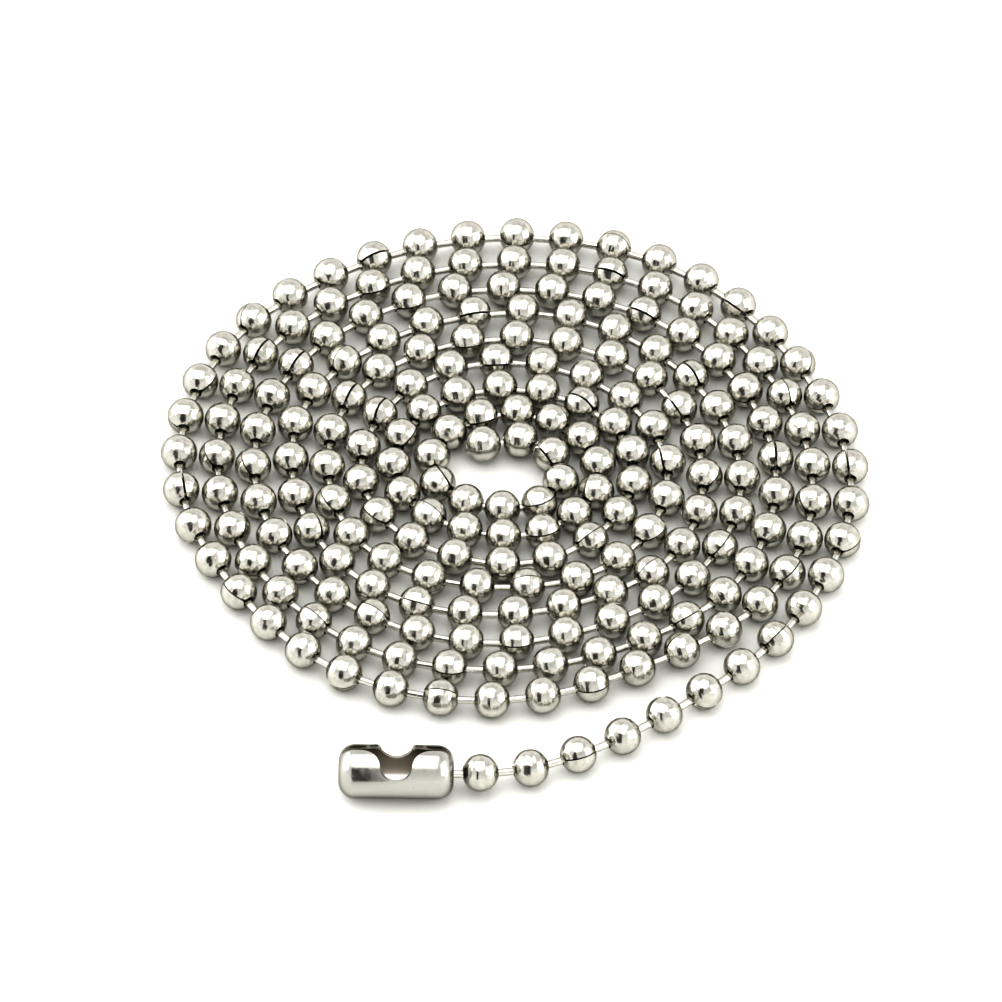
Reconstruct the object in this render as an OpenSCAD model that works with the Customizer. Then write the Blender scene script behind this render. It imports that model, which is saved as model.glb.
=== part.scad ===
// Ball chain necklace, unfastened and lying in a flat open spiral, with its connector on the outer end.
// Each ball is a hollow sheet sphere with two holes and an open seam. Each link is a wire with a flat
// head on both ends: one head sits in its own ball's hole, the other is caught loosely in the next ball.
// Millimetres, +Z up. The surface that it lies on is z = 0, and the origin is the middle of its outline.

/* [Ball] */
// Outside diameter of a ball
ball_d = 2.5; // [2.4:0.05:2.6]
// Thickness of the sheet that a ball is formed from
ball_wall = 0.2; // [0.16:0.01:0.22]
// Diameter of the two holes in a ball
ball_hole_d = 0.86; // [0.8:0.02:0.9]
// Width of the open seam that runs from hole to hole
seam_w = 0.08; // [0.04:0.01:0.12]

/* [Link] */
// Diameter of a link's wire
wire_d = 0.52; // [0.4:0.02:0.56]
// Diameter of the flat head on each end of a link
head_d = 1.06; // [0.98:0.02:1.1]
// Thickness of a head
head_t = 0.2; // [0.12:0.02:0.24]
// Wire that shows between two balls when the chain is pulled straight
bare_wire = 0.96; // [0.94:0.02:1.1]

/* [Coil] */
// Space between one turn of the coil and the next
turn_gap = 0.15; // [0.13:0.01:0.25]
// Space that every loose piece keeps from its neighbours
play = 0.12; // [0.1:0.01:0.14]

/* [Connector] */
// Length of the connector
connector_l = 7.8; // [7.6:0.1:9]
// Thickness of the sheet that the connector is rolled from
connector_wall = 0.28; // [0.2:0.02:0.36]
// Room round a ball inside the connector, on the radius
cup_room = 0.3; // [0.26:0.02:0.4]
// Radius of the connector's rounded shoulders
shoulder_r = 1.1; // [0.6:0.05:1.3]
// How much narrower than a ball the notch across the opening is
notch_less = 0.3; // [0.2:0.05:0.4]
// Height of the notch's lowest point over the connector's axis
notch_floor = 0.2; // [0.1:0.05:0.3]
// Radius of the four rounded ears between the notch and the slot
ear_r = 1.5; // [1.4:0.05:1.6]
// Room that the wire has in the slot, on the width
slot_room = 0.06; // [0.04:0.02:0.2]
// Diameter of the hole in each end where the wire leaves
exit_d = 1.2; // [1.18:0.02:1.3]
// Height by which the connector holds up the first ball outside it
lift = 0.25; // [0.2:0.05:0.3]
// Angle by which the opening leans away from straight up
lean = 20; // [0:1:22]

/* [Hidden] */
$fn = 48;

// How deep a seated head is sunk into its ball's wall
seat_bite = 0.05;
// How far a ball's seam is turned on from that of the ball before it
seam_step = 137.5;
// Rounds in which balls that lie too near push each other apart
settle_rounds = 12;
// What a cutting shape stands out past what it cuts
past = 0.5;

// Route of the chain, followed from the connector inwards: the radius from the coil's middle, counted
// in rows of balls. One line is one turn, and the columns stand 30 degrees apart.
//  S     SSE   ESE   E     ENE   NNE   N     NNW   WNW   W     WSW   SSW
TURNS = [
  [10.20, 9.05, 8.90, 9.05, 8.80, 8.95, 8.90, 8.75, 8.85, 8.60, 8.05, 8.00],
  [7.70, 7.40, 7.90, 8.05, 7.95, 8.00, 7.90, 7.85, 7.90, 7.60, 7.20, 7.00],
  [6.65, 6.60, 6.95, 7.10, 7.10, 7.05, 6.95, 6.95, 6.90, 6.65, 6.25, 5.95],
  [5.75, 5.65, 6.00, 6.15, 6.15, 6.10, 6.10, 6.00, 6.00, 5.65, 5.35, 5.05],
  [4.75, 4.75, 5.10, 5.20, 5.25, 5.20, 5.15, 5.10, 5.05, 4.70, 4.50, 4.05],
  [3.80, 3.90, 4.10, 4.25, 4.30, 4.30, 4.25, 4.20, 4.05, 3.85, 3.50, 3.05],
  [2.95, 3.00, 3.10, 3.35, 3.45, 3.35, 3.35, 3.35, 3.20, 2.95, 2.50, 2.10],
  [2.05, 2.15, 2.20, 2.40, 2.50, 2.45, 2.40, 2.35, 2.20, 1.90, 1.50, 1.20],
  [1.10, 1.20, 1.30, 1.45, 1.50, 1.50, 1.50, 1.45, 1.40]
];
// Radius one column before the first, which sets how the chain comes out of the connector
LEAD_IN = 11.10;
// How far the links are pulled out, as a share of the full spacing: a line is a turn
//  S     E     N     W
SPREAD = [
  [1.00, 1.01, 1.01, 1.01],
  [1.01, 1.00, 1.00, 1.00],
  [1.00, 0.99, 0.99, 0.98],
  [1.00, 0.99, 1.00, 0.99],
  [0.99, 0.98, 1.00, 0.97],
  [0.99, 0.98, 0.96, 0.96],
  [0.97, 0.85, 0.87, 0.80],
  [0.81, 0.76, 0.76, 0.77],
  [0.76, 0.78, 0.77, 0.77]
];
// Angles round the coil, counted on from turn to turn: the first ball and where the chain ends
first_angle = -100.25;
last_angle = 3005;
// Angle of the tables' first column, and the angles from column to column
table_angle = -90;
turn_step = 30;
spread_step = 90;

ball_r = ball_d / 2;
hollow_r = ball_r - ball_wall;
row = ball_d + turn_gap;
spacing = ball_d + bare_wire;

// The tables as single lists
radii = concat([LEAD_IN], [for (turn = TURNS) each turn]);
spreads = [for (turn = SPREAD) each turn];

// Entry i of a list, with the list's ends carried on
function held_in(list, i) = list[min(max(i, 0), len(list) - 1)];

// Smooth curve through four values, t of the way from b to c
function blend(a, b, c, d, t) =
  0.5 * (2 * b + (c - a) * t + (2 * a - 5 * b + 4 * c - d) * t * t + (3 * b - 3 * c + d - a) * t * t * t);

// Radius of the route at an angle
function radius_at(angle) =
  let (u = (angle - table_angle) / turn_step + 1, i = floor(u))
  row * blend(held_in(radii, i - 1), held_in(radii, i), held_in(radii, i + 1), held_in(radii, i + 2), u - i);

// Point of the route at an angle
function point_at(angle) = radius_at(angle) * [cos(angle), sin(angle)];

// Distance to the next ball at an angle
function spacing_at(angle) =
  let (u = (angle - table_angle) / spread_step, i = floor(u), t = u - i)
  spacing * (held_in(spreads, i) * (1 - t) + held_in(spreads, i + 1) * t);

// Angle step to the next ball, made better a few times
function step_from(angle, step, tries = 4) =
  tries == 0 ? step :
  step_from(angle, step * spacing_at(angle) / norm(point_at(angle + step) - point_at(angle)), tries - 1);
function next_angle(angle) =
  angle + step_from(angle, spacing_at(angle) / radius_at(angle) * 180 / PI);

// Where the balls lie along the route
laid = [for (angle = first_angle; angle <= last_angle; angle = next_angle(angle)) point_at(angle)];

// Balls that lie too near push each other apart, round after round, until they keep clear
side_space = ball_d + play;
function push_on(points, i) =
  [for (j = [0 : len(points) - 1])
    let (apart = points[i] - points[j])
    if (i != j && norm(apart) < side_space) (side_space / norm(apart) - 1) / 2 * apart];
function add_up(list, i = 0, total = [0, 0]) = i == len(list) ? total : add_up(list, i + 1, total + list[i]);
function settle(points, rounds) =
  rounds == 0 ? points :
  settle([for (i = [0 : len(points) - 1]) points[i] + add_up(push_on(points, i))], rounds - 1);
settled = settle(laid, settle_rounds);
ball_count = len(settled);

// Sizes of the connector. Its opening looks along its own +Z before it leans.
cup_r = ball_r + cup_room;
connector_r = cup_r + connector_wall;
held_x = connector_l / 2 - connector_wall - play - ball_r;
slot_w = wire_d + slot_room;
notch_w = ball_d - notch_less;
notch_z = notch_floor + notch_w / 2;
ear_y = slot_w / 2 + ear_r;
// The ears' curves meet the notch where it is widest, on the connector's outside
notch_y = sqrt(pow(connector_r, 2) - pow(notch_z, 2));
ear_x = notch_w / 2 + sqrt(pow(ear_r, 2) - pow(ear_y - notch_y, 2));

// Middle of the whole outline, which is brought to the origin
connector_at = settled[0] - [held_x, 0];
edges_x = [for (p = settled) each [p.x - ball_r, p.x + ball_r]];
edges_y = [for (p = settled) each [p.y - ball_r, p.y + ball_r]];
middle = [
  (min(min(edges_x), connector_at.x - connector_l / 2) + max(max(edges_x), connector_at.x + connector_l / 2)) / 2,
  (min(min(edges_y), connector_at.y - connector_r) + max(max(edges_y), connector_at.y + connector_r)) / 2
];

// Centres of the balls in space: the first is on the connector's axis, the second is held up a little
// by it, and the others lie on the surface
balls = [for (i = [0 : ball_count - 1])
  [settled[i].x - middle.x, settled[i].y - middle.y, i == 0 ? connector_r : i == 1 ? ball_r + lift : ball_r]];

// Distances from a ball's centre to the end of its seated head and to the tip of its link
seat_z = sqrt(pow(hollow_r, 2) - pow(ball_hole_d / 2, 2)) + seat_bite;
caught_z = sqrt(pow(hollow_r - play, 2) - pow(head_d / 2, 2));
tip_z = spacing * max(spreads) - caught_z + head_t;

// Turns +Z to a direction
module along(direction) {
  rotate([0, acos(direction.z / norm(direction)), atan2(direction.y, direction.x)])
    children();
}

// Ball at the origin with its outgoing hole up +Z and its seam on one side
module drilled_ball() {
  difference() {
    sphere(r = ball_r);
    sphere(r = hollow_r);
    cylinder(h = ball_d, d = ball_hole_d);
    translate([-ball_d, -seam_w / 2, -ball_d / 2])
      cube([ball_d, seam_w, ball_d]);
  }
}

// Ball with a hole towards each neighbour, each drilled on its own wire's line
module ball(outgoing, incoming, seam_turn) {
  difference() {
    along(outgoing)
      rotate(seam_turn)
        drilled_ball();
    along(incoming)
      cylinder(h = ball_d, d = ball_hole_d);
  }
}

// Link along +Z from the ball at the origin
module link() {
  translate([0, 0, seat_z - head_t])
    cylinder(h = head_t, d = head_d);
  translate([0, 0, seat_z - head_t / 2])
    cylinder(h = tip_z - seat_z, d = wire_d);
  translate([0, 0, tip_z - head_t])
    cylinder(h = head_t, d = head_d);
}

module ball_chain() {
  color("silver")
    for (i = [0 : ball_count - 1]) {
      outgoing = i < ball_count - 1 ? balls[i + 1] - balls[i] : balls[i] - balls[i - 1];
      incoming = i > 0 ? balls[i - 1] - balls[i] : balls[0] - balls[1];
      translate(balls[i]) {
        ball(outgoing, incoming, seam_step * i);
        if (i < ball_count - 1)
          along(outgoing)
            link();
      }
    }
}

// Half outline of a barrel with rounded shoulders, to be turned about its axis
module barrel_half(half_l, r, corner_r) {
  square([r, half_l - corner_r]);
  square([r - corner_r, half_l]);
  translate([r - corner_r, half_l - corner_r])
    circle(r = corner_r);
}

module barrel(half_l, r, corner_r) {
  rotate([0, 90, 0])
    rotate_extrude()
      intersection() {
        union() {
          barrel_half(half_l, r, corner_r);
          mirror([0, 1])
            barrel_half(half_l, r, corner_r);
        }
        translate([0, -half_l])
          square([r, 2 * half_l]);
      }
}

// What is cut away for the opening: a round notch across, the ears' curves, the slot and the wire's exits
module connector_cuts() {
  reach = connector_r + past;
  translate([0, reach, notch_z])
    rotate([90, 0, 0])
      cylinder(h = 2 * reach, d = notch_w);
  translate([-notch_w / 2, -reach, notch_z])
    cube([notch_w, 2 * reach, reach]);
  linear_extrude(reach)
    difference() {
      square([2 * ear_x, 2 * notch_y], center = true);
      for (x = [-ear_x, ear_x], y = [-ear_y, ear_y])
        translate([x, y])
          circle(r = ear_r);
    }
  translate([-connector_l / 2 - past, -slot_w / 2, 0])
    cube([connector_l + 2 * past, slot_w, reach]);
  translate([-connector_l / 2 - past, 0, 0])
    rotate([0, 90, 0])
      cylinder(h = connector_l + 2 * past, d = exit_d);
}

module connector() {
  color("gainsboro")
    translate([connector_at.x - middle.x, connector_at.y - middle.y, connector_r])
      rotate([-lean, 0, 0])
        difference() {
          barrel(connector_l / 2, connector_r, shoulder_r);
          barrel(connector_l / 2 - connector_wall, cup_r, shoulder_r - connector_wall);
          connector_cuts();
        }
}

connector();
ball_chain();
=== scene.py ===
"""Looks of the ball chain necklace: fine balls and links in the chain's places, its metal, and the light."""

from math import cos, degrees, floor, hypot, pi, radians, sin

import bpy
import numpy as np
from bpy.props import FloatProperty, FloatVectorProperty, PointerProperty
from mathutils import Matrix, Vector


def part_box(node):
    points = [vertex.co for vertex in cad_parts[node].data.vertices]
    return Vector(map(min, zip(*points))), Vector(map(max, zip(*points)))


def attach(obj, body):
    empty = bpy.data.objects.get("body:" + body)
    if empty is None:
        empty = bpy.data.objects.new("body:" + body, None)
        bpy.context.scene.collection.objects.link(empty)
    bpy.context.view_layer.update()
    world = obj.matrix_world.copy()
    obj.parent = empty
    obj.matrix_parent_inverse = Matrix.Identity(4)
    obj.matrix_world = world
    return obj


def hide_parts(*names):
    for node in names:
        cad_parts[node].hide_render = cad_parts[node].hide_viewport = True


bl_info = {
    "name": "Ball chain necklace",
    "version": (1, 0, 0),
    "blender": (4, 5, 0),
    "location": "View3D > Sidebar > Ball chain",
    "description": "Makes the balls and links of a ball chain in a flat spiral, with its metal and light",
    "category": "Add Mesh",
}

MM = 0.001

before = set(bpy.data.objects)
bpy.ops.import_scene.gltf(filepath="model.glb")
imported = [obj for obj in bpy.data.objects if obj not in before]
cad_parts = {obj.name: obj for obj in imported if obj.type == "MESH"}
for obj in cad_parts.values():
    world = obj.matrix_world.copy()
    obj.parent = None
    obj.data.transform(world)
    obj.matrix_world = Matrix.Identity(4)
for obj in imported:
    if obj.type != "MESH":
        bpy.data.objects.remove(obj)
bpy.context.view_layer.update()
CONNECTOR_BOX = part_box("connector")

# Route of the chain, followed from the connector inwards, as in the part's source: the radius from the
# coil's middle, counted in rows of balls. One line is one turn, and the columns stand 30 degrees apart.
#    S     SSE   ESE   E     ENE   NNE   N     NNW   WNW   W     WSW   SSW
TURNS = [
    [10.20, 9.05, 8.90, 9.05, 8.80, 8.95, 8.90, 8.75, 8.85, 8.60, 8.05, 8.00],
    [7.70, 7.40, 7.90, 8.05, 7.95, 8.00, 7.90, 7.85, 7.90, 7.60, 7.20, 7.00],
    [6.65, 6.60, 6.95, 7.10, 7.10, 7.05, 6.95, 6.95, 6.90, 6.65, 6.25, 5.95],
    [5.75, 5.65, 6.00, 6.15, 6.15, 6.10, 6.10, 6.00, 6.00, 5.65, 5.35, 5.05],
    [4.75, 4.75, 5.10, 5.20, 5.25, 5.20, 5.15, 5.10, 5.05, 4.70, 4.50, 4.05],
    [3.80, 3.90, 4.10, 4.25, 4.30, 4.30, 4.25, 4.20, 4.05, 3.85, 3.50, 3.05],
    [2.95, 3.00, 3.10, 3.35, 3.45, 3.35, 3.35, 3.35, 3.20, 2.95, 2.50, 2.10],
    [2.05, 2.15, 2.20, 2.40, 2.50, 2.45, 2.40, 2.35, 2.20, 1.90, 1.50, 1.20],
    [1.10, 1.20, 1.30, 1.45, 1.50, 1.50, 1.50, 1.45, 1.40],
]
# Radius one column before the first
LEAD_IN = 11.10
# How far the links are pulled out, as a share of the full spacing: a line is a turn
#    S     E     N     W
SPREAD = [
    [1.00, 1.01, 1.01, 1.01],
    [1.01, 1.00, 1.00, 1.00],
    [1.00, 0.99, 0.99, 0.98],
    [1.00, 0.99, 1.00, 0.99],
    [0.99, 0.98, 1.00, 0.97],
    [0.99, 0.98, 0.96, 0.96],
    [0.97, 0.85, 0.87, 0.80],
    [0.81, 0.76, 0.76, 0.77],
    [0.76, 0.78, 0.77, 0.77],
]
# Angles round the coil in degrees: the first ball, the chain's end, and the tables' first column and steps
FIRST_ANGLE = -100.25
LAST_ANGLE = 3005
TABLE_ANGLE = -90
TURN_STEP = 30
SPREAD_STEP = 90
# Rounds that bring a step along the curve to the links' spacing, and rounds in which balls push apart
STEP_ROUNDS = 4
SETTLE_ROUNDS = 12

# Degrees by which each ball's seam is turned on from that of the ball before it, the narrowest seam, and
# how much wider the widest one is, both as shares of the usual width
SEAM_STEP = 137.5
SEAM_LEAST = 0.6
SEAM_RANGE = 0.9

# Faces of one ball's sheet before it is subdivided once, along from hole to hole and round from edge to
# edge of the seam, the sides of a wire, and the angle in degrees from which a link's edge is sharp
SHEET_ALONG = 5
SHEET_ROUND = 12
WIRE_SIDES = 12
SHARP_FROM = 40

# Rings that rolling leaves on a ball's sheet from hole to hole, how often they waver round the ball, and
# their depth
RINGS_PER_BALL = 5.0
RING_WAVES = 0.9
RING_DEPTH = 0.09 * MM
# Size of the patches of duller metal that handling leaves
PATCH_SIZE = 0.35 * MM

# Radius of the connector's rounded shoulders and the thickness of its sheet
SHOULDER = 1.1 * MM
CONNECTOR_WALL = 0.28 * MM
# How the connector's height falls with the square of the distance from its middle, per metre
CONNECTOR_BULGE = 20.0
# Heights from the connector's axis between which its inside turns from bright to dull
BRIGHT_BELOW = -1.27 * MM
DULL_ABOVE = -1.2 * MM

# Camera: the photograph's width in pixels and the lens that goes with it, its distance and elevation, the
# point it looks at, and how far the picture is turned
PHOTO_WIDTH = 1002
LENS_PIXELS = 9900
SENSOR = 36.0
CAMERA_DISTANCE = 0.68704
CAMERA_ELEVATION = 47.4
CAMERA_AIM = Vector((-0.916 * MM, 0.247 * MM, 1.25 * MM))
CAMERA_ROLL = 0.8

# Half the floor's side, in metres as all the lengths below
FLOOR_HALF = 1.5
# Walls of the light tent: their colour at two heights, where 0 is level with the floor and 1 is overhead
TENT_WALLS = ((0.0, "FFFFFF"), (0.8, "D6D6D4"))
# Soft boxes: name, the way to it as shares of the picture's right, up and back, its width and height, and
# the distance at which they all stand
SOFT_BOXES = (
    ("overhead_box", (-0.13, 0.70, 0.70), 0.78, 0.80),
    ("left_box", (-0.866, 0.482, 0.134), 0.68, 0.66),
    ("right_box", (0.859, 0.192, 0.475), 0.62, 0.58),
)
BOX_DISTANCE = 0.7
# Dark opening on the camera's side of the tent: its corners to the picture's right and up, how far it
# stands back from the necklace, and the heights in the picture between which it fades in
OPENING_CORNERS = ((-0.377, -0.58), (-0.055, -0.58), (-0.075, 0.11), (-0.31, 0.16))
OPENING_DISTANCE = 0.5
FADE_FROM = -0.58
FADE_TO = -0.42


def linear(hex_colour, alpha=1.0):
    """Linear colour of an sRGB hex value."""
    parts = [int(hex_colour[i:i + 2], 16) / 255 for i in (0, 2, 4)]
    return [c / 12.92 if c <= 0.04045 else ((c + 0.055) / 1.055) ** 2.4 for c in parts] + [alpha]


def add_node(tree, kind, settings=None, inputs=None):
    """Adds a node, sets its own settings, and gives inputs, by name or number, a value or a socket's link."""
    node = tree.nodes.new(kind)
    for name, value in (settings or {}).items():
        setattr(node, name, value)
    for name, value in (inputs or {}).items():
        if isinstance(value, bpy.types.NodeSocket):
            tree.links.new(value, node.inputs[name])
        else:
            node.inputs[name].default_value = value
    return node


def source_of(socket):
    """The output that is linked to an input."""
    return socket.links[0].from_socket


class ChainSettings(bpy.types.PropertyGroup):
    """Sizes of the balls and links."""
    ball_diameter: FloatProperty(
        name="Ball diameter", description="Outside diameter of a ball",
        default=2.5 * MM, min=0.5 * MM, unit="LENGTH", precision=5)
    swell: FloatProperty(
        name="Swell", description="How much wider a ball is across the chain than along it",
        default=0.07 * MM, min=0.0, unit="LENGTH", precision=5)
    sheet: FloatProperty(
        name="Sheet", description="Thickness of the sheet that a ball is formed from",
        default=0.2 * MM, min=0.05 * MM, unit="LENGTH", precision=5)
    hole: FloatProperty(
        name="Hole", description="Diameter of the two holes in a ball",
        default=0.86 * MM, min=0.1 * MM, unit="LENGTH", precision=5)
    seam: FloatProperty(
        name="Seam", description="Width of the open seam from hole to hole",
        default=0.1 * MM, min=0.01 * MM, unit="LENGTH", precision=5)
    wire: FloatProperty(
        name="Wire", description="Diameter of a link's wire",
        default=0.52 * MM, min=0.1 * MM, unit="LENGTH", precision=5)
    head: FloatProperty(
        name="Head", description="Diameter of the flat head on each end of a link",
        default=1.06 * MM, min=0.1 * MM, unit="LENGTH", precision=5)
    head_thickness: FloatProperty(
        name="Head thickness", description="Thickness of a head",
        default=0.2 * MM, min=0.05 * MM, unit="LENGTH", precision=5)
    bare_wire: FloatProperty(
        name="Bare wire", description="Wire that shows between two balls when the chain is pulled straight",
        default=0.96 * MM, min=0.1 * MM, unit="LENGTH", precision=5)
    droop: FloatProperty(
        name="Droop", description="How far a link lies below the middle of the holes that it passes",
        default=0.16 * MM, min=0.0, unit="LENGTH", precision=5)
    turn_gap: FloatProperty(
        name="Turn gap", description="Space between one turn of the coil and the next",
        default=0.15 * MM, min=0.05 * MM, unit="LENGTH", precision=5)
    play: FloatProperty(
        name="Play", description="Space that every loose piece keeps from its neighbours",
        default=0.12 * MM, min=0.01 * MM, unit="LENGTH", precision=5)
    lift: FloatProperty(
        name="Lift", description="Height by which the connector holds up the first ball outside it",
        default=0.25 * MM, min=0.0, unit="LENGTH", precision=5)
    held: FloatProperty(
        name="Held ball", description="Distance of the ball in the connector from the connector's middle",
        default=2.25 * MM, min=0.0, unit="LENGTH", precision=5)


class MetalSettings(bpy.types.PropertyGroup):
    """Colours and polish of the metal."""
    ball_colour: FloatVectorProperty(
        name="Balls", description="Colour of the nickel on the balls",
        subtype="COLOR", size=4, min=0, max=1, default=linear("D0CEC7"))
    ball_roughness: FloatProperty(
        name="Ball roughness", description="Roughness of the balls' plating",
        default=0.18, min=0.0, max=1.0, subtype="FACTOR")
    wire_colour: FloatVectorProperty(
        name="Wire", description="Colour of the nickel on the links' wire",
        subtype="COLOR", size=4, min=0, max=1, default=linear("DAD8D2"))
    wire_roughness: FloatProperty(
        name="Wire roughness", description="Roughness of the wire's plating",
        default=0.2, min=0.0, max=1.0, subtype="FACTOR")
    connector_colour: FloatVectorProperty(
        name="Connector", description="Colour of the nickel on the connector",
        subtype="COLOR", size=4, min=0, max=1, default=linear("C3C2BD"))
    connector_roughness: FloatProperty(
        name="Connector roughness", description="Roughness of the connector's plating",
        default=0.2, min=0.0, max=1.0, subtype="FACTOR")
    inside_colour: FloatVectorProperty(
        name="Connector inside", description="Colour of the nickel inside the connector",
        subtype="COLOR", size=4, min=0, max=1, default=linear("C8C2B8"))
    inside_roughness: FloatProperty(
        name="Inside roughness", description="Roughness of the plating inside the connector",
        default=0.5, min=0.0, max=1.0, subtype="FACTOR")


class StageSettings(bpy.types.PropertyGroup):
    """Floor and light."""
    floor_colour: FloatVectorProperty(
        name="Floor", description="Colour of the floor",
        subtype="COLOR", size=4, min=0, max=1, default=linear("F1F1EF"))
    tent: FloatProperty(
        name="Tent light", description="Brightness of the light tent's walls", default=1.32, min=0.0)
    boxes: FloatProperty(
        name="Soft boxes", description="Brightness of the three soft boxes", default=1.12, min=0.0)


def blend(a, b, c, d, t):
    """Smooth curve through four evenly spaced values, t of the way from b to c: the cubic in t that passes
    through b and c, with half the difference of its two neighbours as its slope at each of them."""
    return 0.5 * (2 * b + (c - a) * t + (2 * a - 5 * b + 4 * c - d) * t ** 2
                  + (3 * b - 3 * c + d - a) * t ** 3)


def held_in(values, i):
    """Entry i of a list, with the list's ends carried on."""
    return values[min(max(i, 0), len(values) - 1)]


def ball_centres(chain):
    """Centres of the balls, from the connector inwards, as an array.
    They are walked along the table's smooth curve at the links' spacing. Those that come too near push
    each other apart, half the overlap each, round after round. The first is on the connector's axis, the
    second is held up a little by it, and the others lie on the floor."""
    radii = [LEAD_IN] + [r for turn in TURNS for r in turn]
    spreads = [s for turn in SPREAD for s in turn]
    row = chain.ball_diameter + chain.turn_gap
    spacing = chain.ball_diameter + chain.bare_wire

    def point_at(angle):
        u = (angle - TABLE_ANGLE) / TURN_STEP + 1
        i = floor(u)
        radius = row * blend(*[held_in(radii, i + k) for k in (-1, 0, 1, 2)], u - i)
        return radius * cos(radians(angle)), radius * sin(radians(angle))

    def spacing_at(angle):
        u = (angle - TABLE_ANGLE) / SPREAD_STEP
        i = floor(u)
        return spacing * (held_in(spreads, i) * (1 - u + i) + held_in(spreads, i + 1) * (u - i))

    laid = []
    angle = FIRST_ANGLE
    while angle <= LAST_ANGLE:
        x, y = point_at(angle)
        laid.append((x, y))
        step = degrees(spacing_at(angle) / hypot(x, y))
        for _ in range(STEP_ROUNDS):
            onward = point_at(angle + step)
            step *= spacing_at(angle) / hypot(onward[0] - x, onward[1] - y)
        angle += step

    points = np.array(laid)
    nearest = chain.ball_diameter + chain.play
    for _ in range(SETTLE_ROUNDS):
        apart = points[:, None] - points[None]
        distance = np.hypot(apart[..., 0], apart[..., 1])
        np.fill_diagonal(distance, nearest)
        push = np.where(distance < nearest, (nearest / distance - 1) / 2, 0)
        points = points + (push[..., None] * apart).sum(axis=1)

    axis = (CONNECTOR_BOX[0] + CONNECTOR_BOX[1]) / 2
    points += np.array([axis.x + chain.held, axis.y]) - points[0]
    heights = np.full(len(points), (chain.ball_diameter + chain.swell) / 2)
    heights[0] = axis.z
    heights[1] += chain.lift
    return np.column_stack([points, heights])


def unit(vectors):
    """Vectors brought to length 1."""
    return vectors / np.linalg.norm(vectors, axis=-1, keepdims=True)


def chain_places(chain):
    """Centres of the balls, and the unit vectors towards the next ball and the one before.
    The chain's two ends carry on straight."""
    centres = ball_centres(chain)
    steps = unit(centres[1:] - centres[:-1])
    outgoing = np.vstack([steps, steps[-1:]])
    incoming = np.vstack([-steps[:1], -steps])
    return centres, outgoing, incoming


def cross_frame(axis):
    """Two directions across an axis that lies nearly level: upwards, and to the right of it."""
    right = unit(np.cross(axis, [0.0, 0.0, 1.0]))
    return np.cross(right, axis), right


def spline_net(points, axis):
    """Control net whose subdivision surface passes through a grid of points, worked out along one axis.
    On such a surface an inner point is a sixth of each neighbour and four sixths of itself, and an end
    point is itself, so the net is the solution of those equations."""
    count = points.shape[axis]
    share = (4 * np.eye(count) + np.eye(count, k=1) + np.eye(count, k=-1)) / 6
    share[0] = np.eye(count)[0]
    share[-1] = np.eye(count)[-1]
    return np.moveaxis(np.tensordot(np.linalg.inv(share), points, (1, axis)), 0, axis)


def ball_sheets(centres, outgoing, incoming, seam_turn, chain):
    """Formed sheets of the balls, as one grid of points a ball.
    Along, the rings' axis turns evenly from one hole's line to the other's, while their angle from it
    grows from the first hole's edge to the second's. Round, they run from edge to edge of the seam, whose
    half width is an arc sine, so its edges stay parallel; some seams gape more than others. A point's
    distance from the centre is the radius plus half the swell times the squared sine of its angle from
    the axis."""
    radius = chain.ball_diameter / 2
    edge = np.arcsin(chain.hole / 2 / radius)
    along = np.linspace(0, 1, SHEET_ALONG + 1)[None, :, None, None]
    round_ = np.linspace(0, 1, SHEET_ROUND + 1)[None, None, :, None]
    axis = unit((1 - along) * outgoing[:, None, None] - along * incoming[:, None, None])
    up, right = cross_frame(axis)
    polar = edge + (pi - 2 * edge) * along
    width = chain.seam * (SEAM_LEAST + SEAM_RANGE * (seam_turn / pi % 1))
    slit = np.arcsin(width[:, None, None, None] / 2 / (radius * np.sin(polar)))
    turn = seam_turn[:, None, None, None] + slit + (2 * pi - 2 * slit) * round_
    points = np.cos(polar) * axis + np.sin(polar) * (np.cos(turn) * up + np.sin(turn) * right)
    points = points * (radius + chain.swell / 2 * np.sin(polar) ** 2)
    return centres[:, None, None] + spline_net(spline_net(points, 1), 2)


def link_rings(centres, outgoing, chain):
    """Rings of the links' outlines: a flat head loose in the link's own ball, the wire, and the head that
    the next ball holds. Each ring is a circle about the link's line at a height and a radius."""
    hollow = chain.ball_diameter / 2 - chain.sheet
    caught = ((hollow - chain.play) ** 2 - (chain.head / 2) ** 2) ** 0.5
    spacing = (chain.ball_diameter + chain.bare_wire) * max(max(turn) for turn in SPREAD)
    tip = spacing - caught + chain.head_thickness
    head, wire = chain.head / 2, chain.wire / 2
    outline = np.array([
        [caught - chain.head_thickness, head],
        [caught, head],
        [caught, wire],
        [tip - chain.head_thickness, wire],
        [tip - chain.head_thickness, head],
        [tip, head],
    ])
    height = outline[:, 0][None, :, None, None]
    radius = outline[:, 1][None, :, None, None]
    turn = (2 * pi / WIRE_SIDES * np.arange(WIRE_SIDES))[None, None, :, None]
    axis = outgoing[:, None, None]
    up, right = cross_frame(axis)
    low = centres - [0, 0, chain.droop]
    return low[:, None, None] + height * axis + radius * (np.cos(turn) * up + np.sin(turn) * right)


def sheet_faces(sheets, rows, columns):
    """Quads of open sheets, each a grid of points numbered a row after a row and a sheet after a sheet."""
    start = np.arange(sheets)[:, None, None] * rows * columns
    corner = start + np.arange(rows - 1)[:, None] * columns + np.arange(columns - 1)
    return np.stack([corner, corner + columns, corner + columns + 1, corner + 1], axis=-1).reshape(-1, 4)


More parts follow.
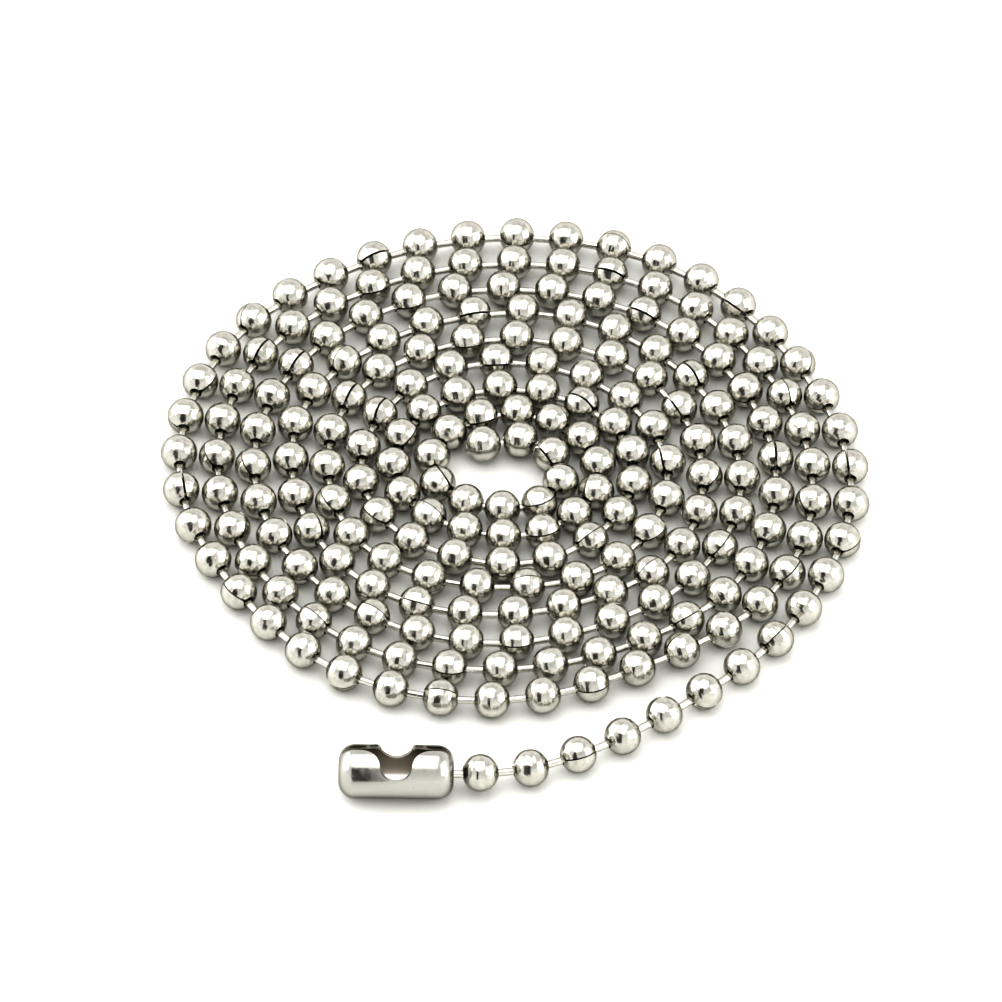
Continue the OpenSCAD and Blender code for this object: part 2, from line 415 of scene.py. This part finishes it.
def link_faces(links, rows, columns):
    """Faces of closed bars, each a stack of rings numbered as a sheet's rows: the quads round the sides,
    whose last column joins the first, and one face over each end."""
    start = np.arange(links)[:, None, None] * rows * columns
    low = start + np.arange(rows - 1)[:, None] * columns
    here = np.arange(columns)
    onward = (here + 1) % columns
    sides = np.stack([low + here, low + onward, low + columns + onward, low + columns + here], axis=-1)
    first_ends = start[:, 0] + here[::-1]
    last_ends = start[:, 0] + (rows - 1) * columns + here
    return sides.reshape(-1, 4).tolist() + first_ends.tolist() + last_ends.tolist()


def put_mesh(name, points, faces):
    """Makes a smooth mesh object from points and faces, which stands for the chain's CAD node."""
    mesh = bpy.data.meshes.new(name)
    mesh.from_pydata(points.reshape(-1, 3), [], faces)
    mesh.shade_smooth()
    piece = bpy.data.objects.new(name, mesh)
    bpy.context.scene.collection.objects.link(piece)
    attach(piece, "root")
    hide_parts("ball_chain")
    return piece


def map_sheets(mesh, rows, columns):
    """UV map of the sheets: the ball's number plus the share of the way round it, and the share of the way
    from hole to hole."""
    corners = np.zeros(len(mesh.loops), dtype=np.int32)
    mesh.loops.foreach_get("vertex_index", corners)
    sheet_map = np.stack([corners // (rows * columns) + corners % columns / (columns - 1),
                          corners // columns % rows / (rows - 1)], axis=-1)
    mesh.uv_layers.new(name="sheet").data.foreach_set("uv", sheet_map.ravel())


def sharpen_borders(mesh):
    """Marks as sharp the edges that only one face has, which are the sheet's own edges."""
    uses = np.zeros(len(mesh.loops), dtype=np.int32)
    mesh.loops.foreach_get("edge_index", uses)
    border = np.bincount(uses, minlength=len(mesh.edges)) == 1
    mesh.attributes.new("sharp_edge", "BOOLEAN", "EDGE").data.foreach_set("value", border)


def metal(name, colour, roughness, dent_size, dent_depth, tarnish):
    """Bright nickel over formed steel, as a material and its shader.
    The plating keeps a mirror's shine, and to the eye it is told from chrome by its warm grey. Forming
    leaves shallow dents that bend the reflections, and handling leaves faint patches of duller metal."""
    material = bpy.data.materials.new(name)
    material.use_nodes = True
    tree = material.node_tree
    tree.nodes.clear()
    place = add_node(tree, "ShaderNodeTexCoord").outputs["Object"]
    dents = add_node(tree, "ShaderNodeTexNoise", inputs={
        "Vector": place, "Scale": 1 / dent_size, "Detail": 2.0, "Roughness": 0.5})
    dented = add_node(tree, "ShaderNodeBump", inputs={
        "Height": dents.outputs["Fac"], "Distance": dent_depth, "Strength": 1.0})
    patches = add_node(tree, "ShaderNodeTexNoise", inputs={
        "Vector": place, "Scale": 1 / PATCH_SIZE, "Detail": 3.0, "Roughness": 0.6})
    polish = add_node(tree, "ShaderNodeMapRange", inputs={
        "Value": patches.outputs["Fac"], "From Min": 0.3, "From Max": 0.7,
        "To Min": roughness * 0.7, "To Max": roughness * 1.4})
    brightness = add_node(tree, "ShaderNodeMapRange", inputs={
        "Value": patches.outputs["Fac"], "From Min": 0.35, "From Max": 0.65,
        "To Min": 1 - tarnish, "To Max": 1 + tarnish / 2})
    nickel = add_node(tree, "ShaderNodeHueSaturation", inputs={
        "Value": brightness.outputs["Result"], "Color": colour})
    shader = add_node(tree, "ShaderNodeBsdfPrincipled", inputs={
        "Base Color": nickel.outputs["Color"], "Metallic": 1.0, "Specular Tint": linear("B8B7B2"),
        "Roughness": polish.outputs["Result"], "Normal": dented.outputs["Normal"]})
    add_node(tree, "ShaderNodeOutputMaterial", inputs={"Surface": shader.outputs["BSDF"]})
    return material, shader


def ball_metal(metals):
    """The chain's nickel on the balls. Rolling the sheet into a ball leaves shallow rings about the chain's
    line, different on each ball, which break up the reflections further."""
    material, shader = metal("nickel plated balls", metals.ball_colour, metals.ball_roughness,
                             dent_size=1.0 * MM, dent_depth=0.065 * MM, tarnish=0.12)
    tree = material.node_tree
    place = add_node(tree, "ShaderNodeUVMap", {"uv_map": "sheet"}).outputs["UV"]
    drawn_out = add_node(tree, "ShaderNodeMapping", inputs={
        "Vector": place, "Scale": (RING_WAVES, RINGS_PER_BALL, 1.0)}).outputs["Vector"]
    rings = add_node(tree, "ShaderNodeTexNoise", inputs={
        "Vector": drawn_out, "Scale": 1.0, "Detail": 1.0, "Roughness": 0.5}).outputs["Fac"]
    rolled = add_node(tree, "ShaderNodeBump", inputs={
        "Height": rings, "Distance": RING_DEPTH, "Strength": 1.0,
        "Normal": source_of(shader.inputs["Normal"])}).outputs["Normal"]
    tree.links.new(rolled, shader.inputs["Normal"])
    return material


def connector_metal(metals):
    """The chain's nickel on the connector, whose outside is polished smoother.
    The barrel bulges a little along its length: a height that falls with the square of the distance from
    the middle. Its inside, out of the polishing wheel's reach, is dull and brownish except along its
    bottom. It is told from the outside by the distance from the barrel's core, which is a cylinder
    with sharp edges, smaller than the barrel by the shoulders' radius all round."""
    material, shader = metal("nickel plated connector", metals.connector_colour, metals.connector_roughness,
                             dent_size=3.0 * MM, dent_depth=0.012 * MM, tarnish=0.03)
    tree = material.node_tree
    low, high = CONNECTOR_BOX
    core_length = (high.x - low.x) / 2 - SHOULDER
    core_radius = (high.z - low.z) / 2 - SHOULDER

    place = add_node(tree, "ShaderNodeTexCoord").outputs["Object"]
    centred = add_node(tree, "ShaderNodeVectorMath", {"operation": "SUBTRACT"}, {
        0: place, 1: (low + high) / 2}).outputs["Vector"]
    parts = add_node(tree, "ShaderNodeSeparateXYZ", inputs={"Vector": centred}).outputs

    across = add_node(tree, "ShaderNodeVectorMath", {"operation": "MULTIPLY"}, {
        0: centred, 1: (0.0, 1.0, 1.0)}).outputs["Vector"]
    from_axis = add_node(tree, "ShaderNodeVectorMath", {"operation": "LENGTH"}, {
        0: across}).outputs["Value"]
    profile = add_node(tree, "ShaderNodeCombineXYZ", inputs={
        "X": parts["X"], "Y": from_axis}).outputs["Vector"]
    one_half = add_node(tree, "ShaderNodeVectorMath", {"operation": "ABSOLUTE"}, {
        0: profile}).outputs["Vector"]
    past_core = add_node(tree, "ShaderNodeVectorMath", {"operation": "SUBTRACT"}, {
        0: one_half, 1: (core_length, core_radius, 0.0)}).outputs["Vector"]
    outwards = add_node(tree, "ShaderNodeVectorMath", {"operation": "MAXIMUM"}, {
        0: past_core, 1: (0.0, 0.0, 0.0)}).outputs["Vector"]
    from_core = add_node(tree, "ShaderNodeVectorMath", {"operation": "LENGTH"}, {
        0: outwards}).outputs["Value"]

    inside = add_node(tree, "ShaderNodeMapRange", inputs={
        "Value": from_core, "From Min": SHOULDER - CONNECTOR_WALL * 0.7,
        "From Max": SHOULDER - CONNECTOR_WALL * 0.3, "To Min": 1.0, "To Max": 0.0}).outputs["Result"]
    above = add_node(tree, "ShaderNodeMapRange", inputs={
        "Value": parts["Z"], "From Min": BRIGHT_BELOW, "From Max": DULL_ABOVE}).outputs["Result"]
    dull = add_node(tree, "ShaderNodeMath", {"operation": "MULTIPLY"}, {
        0: inside, 1: above}).outputs["Value"]
    # The Mix node's colour sockets share their names with its number sockets, so they go by their numbers
    nickel = add_node(tree, "ShaderNodeMix", {"data_type": "RGBA"}, {
        "Factor": dull, 6: source_of(shader.inputs["Base Color"]), 7: metals.inside_colour}).outputs[2]
    polish = add_node(tree, "ShaderNodeMapRange", inputs={
        "Value": dull, "To Min": source_of(shader.inputs["Roughness"]),
        "To Max": metals.inside_roughness}).outputs["Result"]

    square = add_node(tree, "ShaderNodeMath", {"operation": "MULTIPLY"}, {
        0: parts["X"], 1: parts["X"]}).outputs["Value"]
    fall = add_node(tree, "ShaderNodeMath", {"operation": "MULTIPLY"}, {
        0: square, 1: -CONNECTOR_BULGE}).outputs["Value"]
    bulged = add_node(tree, "ShaderNodeBump", inputs={
        "Height": fall, "Distance": 1.0, "Strength": 1.0,
        "Normal": source_of(shader.inputs["Normal"])}).outputs["Normal"]

    tree.links.new(nickel, shader.inputs["Base Color"])
    tree.links.new(polish, shader.inputs["Roughness"])
    tree.links.new(bulged, shader.inputs["Normal"])
    return material


class NECKLACE_OT_balls(bpy.types.Operator):
    """Makes the hollow balls, formed from sheet with a hole to each neighbour and an open seam"""
    bl_idname = "necklace.balls"
    bl_label = "Make the balls"

    def execute(self, context):
        chain = context.scene.necklace_chain
        centres, outgoing, incoming = chain_places(chain)
        seam_turn = np.radians(SEAM_STEP * np.arange(len(centres)))
        sheets = ball_sheets(centres, outgoing, incoming, seam_turn, chain)
        plating = ball_metal(context.scene.necklace_metal)
        half = len(centres) // 2
        for name, some in (("balls_outer_turns", sheets[:half]), ("balls_inner_turns", sheets[half:])):
            balls, rows, columns = some.shape[:3]
            piece = put_mesh(name, some, sheet_faces(balls, rows, columns).tolist())
            map_sheets(piece.data, rows, columns)
            sharpen_borders(piece.data)
            rounder = piece.modifiers.new("round", "SUBSURF")
            rounder.levels = rounder.render_levels = 1
            wall = piece.modifiers.new("sheet", "SOLIDIFY")
            wall.thickness = chain.sheet
            wall.offset = -1
            piece.data.materials.append(plating)
        return {"FINISHED"}


class NECKLACE_OT_links(bpy.types.Operator):
    """Makes the wire links with a flat head on both ends"""
    bl_idname = "necklace.links"
    bl_label = "Make the links"

    def execute(self, context):
        chain = context.scene.necklace_chain
        metals = context.scene.necklace_metal
        centres, outgoing, _ = chain_places(chain)
        rings = link_rings(centres[:-1], outgoing[:-1], chain)
        piece = put_mesh("links", rings, link_faces(*rings.shape[:3]))
        piece.data.set_sharp_from_angle(angle=radians(SHARP_FROM))
        plating, _ = metal("nickel plated wire", metals.wire_colour, metals.wire_roughness,
                           dent_size=0.5 * MM, dent_depth=0.004 * MM, tarnish=0.08)
        piece.data.materials.append(plating)
        return {"FINISHED"}


class NECKLACE_OT_connector(bpy.types.Operator):
    """Gives the connector its metal"""
    bl_idname = "necklace.connector"
    bl_label = "Finish the connector"

    def execute(self, context):
        plating = connector_metal(context.scene.necklace_metal)
        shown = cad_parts["connector"]
        if not shown.material_slots:
            shown.data.materials.append(plating)
        for material_slot in shown.material_slots:
            material_slot.material = plating
        return {"FINISHED"}


def picture_axes():
    """The picture's right and up and the way back to the camera, as directions in the scene."""
    elevation, roll = radians(CAMERA_ELEVATION), radians(CAMERA_ROLL)
    look = Vector((0, cos(elevation), -sin(elevation)))
    level = Vector((1, 0, 0))
    upright = level.cross(look)
    return (level * cos(roll) + upright * sin(roll), upright * cos(roll) - level * sin(roll), -look)


def add_camera(scene):
    """Camera at the photograph's place, with the photograph's lens."""
    data = bpy.data.cameras.new("camera")
    data.sensor_width = SENSOR
    data.lens = LENS_PIXELS / PHOTO_WIDTH * SENSOR
    data.clip_start = 0.01
    data.clip_end = 10
    camera = bpy.data.objects.new("camera", data)
    scene.collection.objects.link(camera)
    right, up, back = picture_axes()
    turned = Matrix((right, up, back)).transposed().to_4x4()
    turned.translation = CAMERA_AIM + back * CAMERA_DISTANCE
    camera.matrix_world = turned
    scene.camera = camera


def facing(way, distance):
    """Place of a rectangle that faces the necklace from a way in the picture's axes, level in the picture."""
    right, up, back = picture_axes()
    away = (right * way[0] + up * way[1] + back * way[2]).normalized()
    upright = (up - away * up.dot(away)).normalized()
    placed = Matrix((upright.cross(away), upright, away)).transposed().to_4x4()
    placed.translation = CAMERA_AIM + away * distance
    return placed


def add_soft_box(scene, name, way, width, height, brightness):
    """Soft box: a rectangle of even light that faces the necklace. Its power is its brightness times pi
    times its area."""
    data = bpy.data.lights.new(name, "AREA")
    data.shape = "RECTANGLE"
    data.size = width
    data.size_y = height
    data.energy = brightness * pi * width * height
    light = bpy.data.objects.new(name, data)
    scene.collection.objects.link(light)
    light.matrix_world = facing(way, BOX_DISTANCE)
    light.visible_camera = False


def add_tent(scene, brightness):
    """World of even light, a little greyer overhead than at the floor, as inside a cloth tent."""
    world = bpy.data.worlds.new("light tent")
    scene.world = world
    world.use_nodes = True
    tree = world.node_tree
    tree.nodes.clear()
    way = add_node(tree, "ShaderNodeTexCoord").outputs["Generated"]
    height = add_node(tree, "ShaderNodeSeparateXYZ", inputs={"Vector": way}).outputs["Z"]
    walls = add_node(tree, "ShaderNodeValToRGB", inputs={"Fac": height})
    for stop, (level, colour) in zip(walls.color_ramp.elements, TENT_WALLS):
        stop.position = level
        stop.color = linear(colour)
    light = add_node(tree, "ShaderNodeBackground", inputs={
        "Color": walls.outputs["Color"], "Strength": brightness})
    add_node(tree, "ShaderNodeOutputWorld", inputs={"Surface": light.outputs["Background"]})


def add_panel(scene, name, corners, material_name, colour, roughness):
    """Flat panel of the stage with four corners, and its shader."""
    mesh = bpy.data.meshes.new(name)
    mesh.from_pydata(corners, [], [(0, 1, 2, 3)])
    panel = bpy.data.objects.new(name, mesh)
    scene.collection.objects.link(panel)
    material = bpy.data.materials.new(material_name)
    material.use_nodes = True
    shader = material.node_tree.nodes["Principled BSDF"]
    shader.inputs["Base Color"].default_value = colour
    shader.inputs["Roughness"].default_value = roughness
    mesh.materials.append(material)
    return panel, shader


def add_floor(scene, colour):
    """Floor of smooth painted board, which gives a soft shadow and hardly any gloss."""
    half = FLOOR_HALF
    corners = [(-half, -half, 0), (half, -half, 0), (half, half, 0), (-half, half, 0)]
    _, shader = add_panel(scene, "floor", corners, "white board", colour, 0.35)
    shader.inputs["Specular IOR Level"].default_value = 0.3


def add_dark_opening(scene):
    """Dark cloth over the tent's opening, which the metal mirrors and the camera doesn't see. It fades in
    from below by its height in the picture."""
    right, up, back = picture_axes()
    corners = [CAMERA_AIM + right * x + up * y + back * OPENING_DISTANCE for x, y in OPENING_CORNERS]
    opening, shader = add_panel(scene, "dark_opening", corners, "black cloth", linear("4A4744"), 1.0)
    opening.visible_camera = False
    tree = shader.id_data
    place = add_node(tree, "ShaderNodeTexCoord").outputs["Object"]
    above = add_node(tree, "ShaderNodeVectorMath", {"operation": "DOT_PRODUCT"}, {
        0: place, 1: up}).outputs["Value"]
    fade = add_node(tree, "ShaderNodeMapRange", inputs={
        "Value": above, "From Min": FADE_FROM, "From Max": FADE_TO}).outputs["Result"]
    tree.links.new(fade, shader.inputs["Alpha"])


class NECKLACE_OT_stage(bpy.types.Operator):
    """Makes the floor, the light and the camera"""
    bl_idname = "necklace.stage"
    bl_label = "Make the stage"

    def execute(self, context):
        scene = context.scene
        stage = scene.necklace_stage
        add_floor(scene, stage.floor_colour)
        add_tent(scene, stage.tent)
        for name, way, width, height in SOFT_BOXES:
            add_soft_box(scene, name, way, width, height, stage.boxes)
        add_dark_opening(scene)
        add_camera(scene)
        scene.view_settings.view_transform = "Standard"
        scene.view_settings.look = "Medium High Contrast"
        scene.view_settings.gamma = 0.7
        return {"FINISHED"}


class NECKLACE_PT_panel(bpy.types.Panel):
    """Lists the pieces and what can be changed"""
    bl_label = "Ball chain necklace"
    bl_idname = "NECKLACE_PT_panel"
    bl_space_type = "VIEW_3D"
    bl_region_type = "UI"
    bl_category = "Ball chain"

    def draw(self, context):
        for settings in (context.scene.necklace_chain, context.scene.necklace_metal,
                         context.scene.necklace_stage):
            box = self.layout.box()
            for name in settings.__annotations__:
                box.prop(settings, name)
        for operator in OPERATORS:
            self.layout.operator(operator.bl_idname)


OPERATORS = (NECKLACE_OT_balls, NECKLACE_OT_links, NECKLACE_OT_connector, NECKLACE_OT_stage)
CLASSES = (ChainSettings, MetalSettings, StageSettings, *OPERATORS, NECKLACE_PT_panel)


def register():
    for each in CLASSES:
        bpy.utils.register_class(each)
    bpy.types.Scene.necklace_chain = PointerProperty(type=ChainSettings)
    bpy.types.Scene.necklace_metal = PointerProperty(type=MetalSettings)
    bpy.types.Scene.necklace_stage = PointerProperty(type=StageSettings)


def unregister():
    del bpy.types.Scene.necklace_stage
    del bpy.types.Scene.necklace_metal
    del bpy.types.Scene.necklace_chain
    for each in reversed(CLASSES):
        bpy.utils.unregister_class(each)


def main():
    register()
    bpy.ops.necklace.balls()
    bpy.ops.necklace.links()
    bpy.ops.necklace.connector()
    bpy.ops.necklace.stage()


if __name__ == "__main__":
    main()
